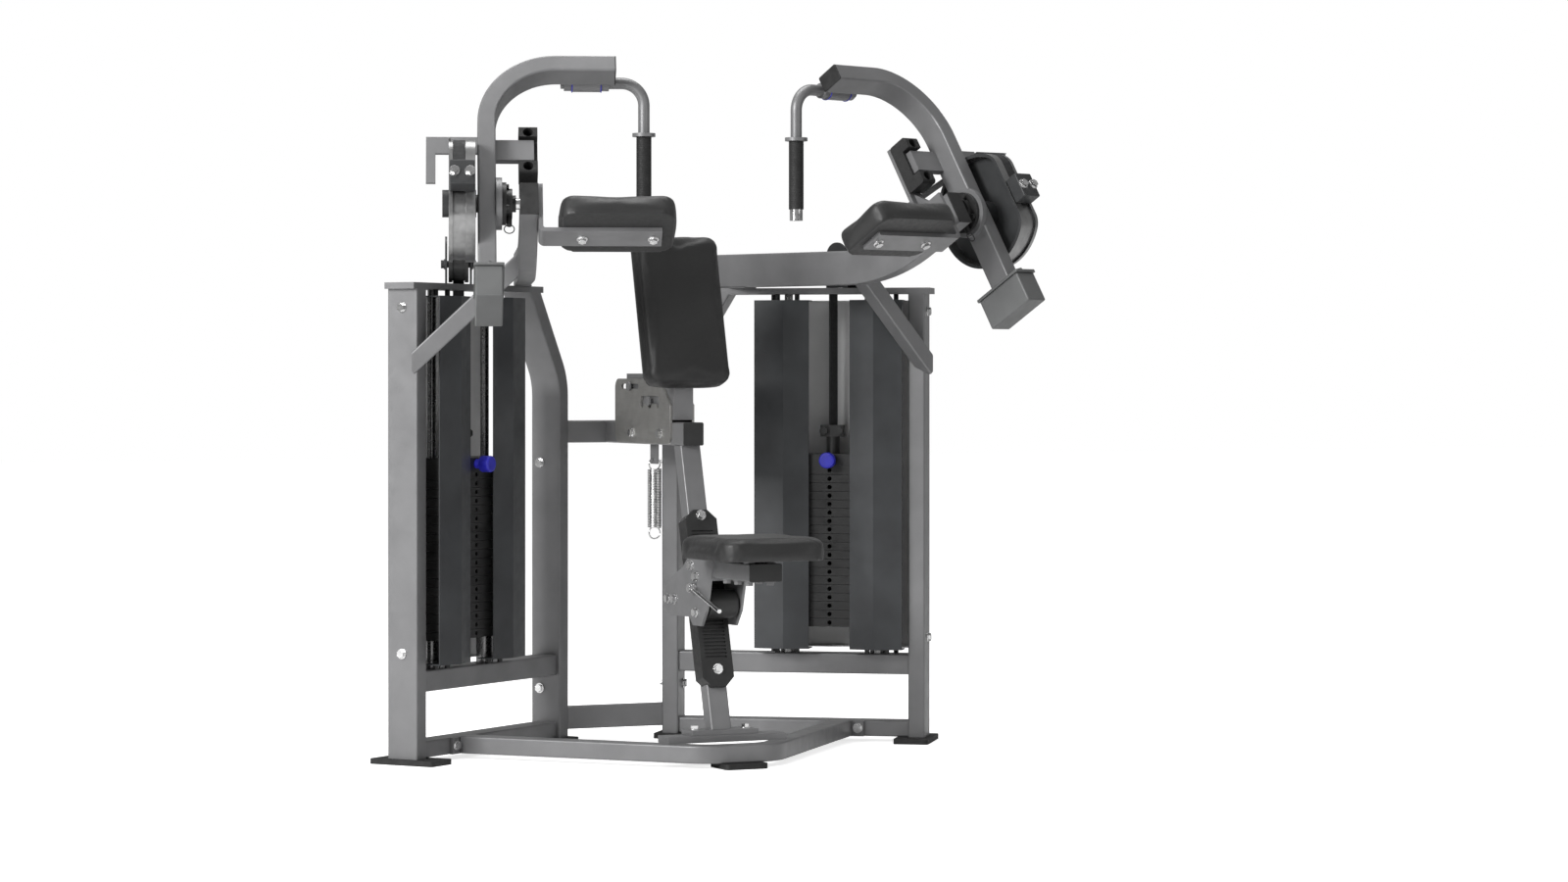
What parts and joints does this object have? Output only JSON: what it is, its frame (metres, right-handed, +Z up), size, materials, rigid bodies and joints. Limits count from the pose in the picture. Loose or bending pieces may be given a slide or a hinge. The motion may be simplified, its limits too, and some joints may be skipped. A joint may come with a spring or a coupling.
{
  "type": "seated iso-lateral arm extension machine",
  "caption": "Seated gym machine with two swinging arms, hanging handles, arm pads, sliding seat and back pads, and a guarded weight tower on each side.",
  "frame": {"origin": "middle of the machine's width and depth, on the floor under the feet", "axes": "+Z up, the seated user faces -Y, +X is the user's left"},
  "size_m": [1.4486, 1.0336, 1.5963],
  "materials": {
    "frame_paint": "satin graphite-grey powder coat",
    "block_paint": "satin dark-grey paint",
    "weight_paint": "black powder-coated steel",
    "shroud_paint": "satin charcoal sheet steel",
    "panel_paint": "light-grey sheet steel",
    "bright_steel": "polished plated steel",
    "zinc": "zinc-plated sheet",
    "vinyl": "black vinyl upholstery",
    "rubber_black": "black rubber",
    "belt_black": "black ribbed belt",
    "plastic_black": "black moulded plastic",
    "plastic_blue": "blue moulded plastic"
  },
  "bodies": {
    "frame": {"base_frame": "frame_paint", "rear_links": "frame_paint", "seat_column": "frame_paint", "rubber_feet": "rubber_black", "tube_caps": "plastic_black", "frame_bolts": "bright_steel", "guide_rods": "bright_steel", "front_shrouds": "shroud_paint", "rear_panels": "panel_paint", "shroud_spacers": "shroud_paint", "braces": "frame_paint", "bumpers": "rubber_black", "pivot_shafts": "bright_steel", "pulley_brackets": "block_paint", "seat_rack": "plastic_black", "seat_spring": "bright_steel", "adjuster_plates": "zinc", "left_tower": "frame_paint", "left_swan_neck": "frame_paint", "left_pad_bracket": "frame_paint", "left_arm_pad": "vinyl", "left_weight_plates": "weight_paint", "left_belt_run": "belt_black", "right_tower": "frame_paint", "right_swan_neck": "frame_paint", "right_pad_bracket": "frame_paint", "right_arm_pad": "vinyl", "right_weight_plates": "weight_paint", "right_belt_run": "belt_black"},
    "seat": {"seat_carriage": "frame_paint", "seat_rollers": "plastic_black", "seat_latch": "plastic_black", "seat_pad": "vinyl"},
    "seat_lever_unit": {"seat_lever": "bright_steel"},
    "back": {"back_carriage": "frame_paint", "back_pad": "vinyl"},
    "left_arm_unit": {"left_arm": "frame_paint", "left_counterweight": "block_paint", "left_belt_drum": "block_paint", "left_clamp_block": "block_paint", "left_arm_bearing": "plastic_black", "left_belt_wrap": "belt_black"},
    "left_handle_unit": {"left_handle": "bright_steel", "left_grip": "rubber_black"},
    "left_stack_head": {"left_head_plate": "weight_paint", "left_belt_drop": "belt_black"},
    "left_pin": {"left_selector_pin": "plastic_blue"},
    "left_pulley_wheel": {"left_pulley": "plastic_black"},
    "right_arm_unit": {"right_arm": "frame_paint", "right_counterweight": "block_paint", "right_belt_drum": "block_paint", "right_clamp_block": "block_paint", "right_arm_bearing": "plastic_black", "right_belt_wrap": "belt_black"},
    "right_handle_unit": {"right_handle": "bright_steel", "right_grip": "rubber_black"},
    "right_stack_head": {"right_head_plate": "weight_paint", "right_belt_drop": "belt_black"},
    "right_pin": {"right_selector_pin": "plastic_blue"},
    "right_pulley_wheel": {"right_pulley": "plastic_black"}
  },
  "joints": [
    {"name": "left_arm_swing", "type": "hinge", "parent": "frame", "child": "left_arm_unit", "pos_m": [0.601, -0.28045, 1.2575], "axis": [0.9397, 0.342, 0], "range_deg": [0, 105]},
    {"name": "left_handle_swivel", "type": "hinge", "parent": "left_arm_unit", "child": "left_handle_unit", "pos_m": [0.3112, -0.14355, 1.53947], "axis": [0.9397, 0.342, 0], "range_deg": [-100, 100]},
    {"name": "left_head_lift", "type": "slide", "parent": "frame", "child": "left_stack_head", "axis": [0, 0, 1], "range_m": [0, 0.2295], "deforming": ["left_belt_drop"]},
    {"name": "left_pulley_spin", "type": "hinge", "parent": "frame", "child": "left_pulley_wheel", "pos_m": [0.49556, 0.18611, 1.1385], "axis": [0.9397, 0.342, 0], "range_deg": [0, 330]},
    {"name": "left_pin_pull", "type": "slide", "parent": "left_stack_head", "child": "left_pin", "axis": [-0.5916, -0.8062, 0], "range_m": [0, 0.09]},
    {"name": "right_arm_swing", "type": "hinge", "parent": "frame", "child": "right_arm_unit", "pos_m": [-0.601, -0.28045, 1.2575], "axis": [0.9397, -0.342, 0], "range_deg": [0, 105]},
    {"name": "right_handle_swivel", "type": "hinge", "parent": "right_arm_unit", "child": "right_handle_unit", "pos_m": [-0.3112, -0.14355, 1.53947], "axis": [0.9397, -0.342, 0], "range_deg": [-100, 100]},
    {"name": "right_head_lift", "type": "slide", "parent": "frame", "child": "right_stack_head", "axis": [0, 0, 1], "range_m": [0, 0.2295], "deforming": ["right_belt_drop"]},
    {"name": "right_pulley_spin", "type": "hinge", "parent": "frame", "child": "right_pulley_wheel", "pos_m": [-0.49556, 0.18611, 1.1385], "axis": [0.9397, -0.342, 0], "range_deg": [0, 330]},
    {"name": "right_pin_pull", "type": "slide", "parent": "right_stack_head", "child": "right_pin", "axis": [0.5916, -0.8062, 0], "range_m": [0, 0.09]},
    {"name": "seat_height", "type": "slide", "parent": "frame", "child": "seat", "axis": [0, 0.2672, 0.9636], "range_m": [-0.1, 0.08]},
    {"name": "lever_turn", "type": "hinge", "parent": "seat", "child": "seat_lever_unit", "pos_m": [-0.054, -0.14744, 0.3985], "axis": [-1, 0, 0], "range_deg": [0, 20]},
    {"name": "back_slide", "type": "slide", "parent": "frame", "child": "back", "axis": [0, 1, 0], "range_m": [-0.045, 0.045]}
  ],
  "couplings": [
    {"joint": "left_head_lift", "follows": "left_arm_swing", "m_per_rad": 0.125},
    {"joint": "left_pulley_spin", "follows": "left_arm_swing", "ratio": 3.125},
    {"joint": "right_head_lift", "follows": "right_arm_swing", "m_per_rad": 0.125},
    {"joint": "right_pulley_spin", "follows": "right_arm_swing", "ratio": 3.125}
  ]
}
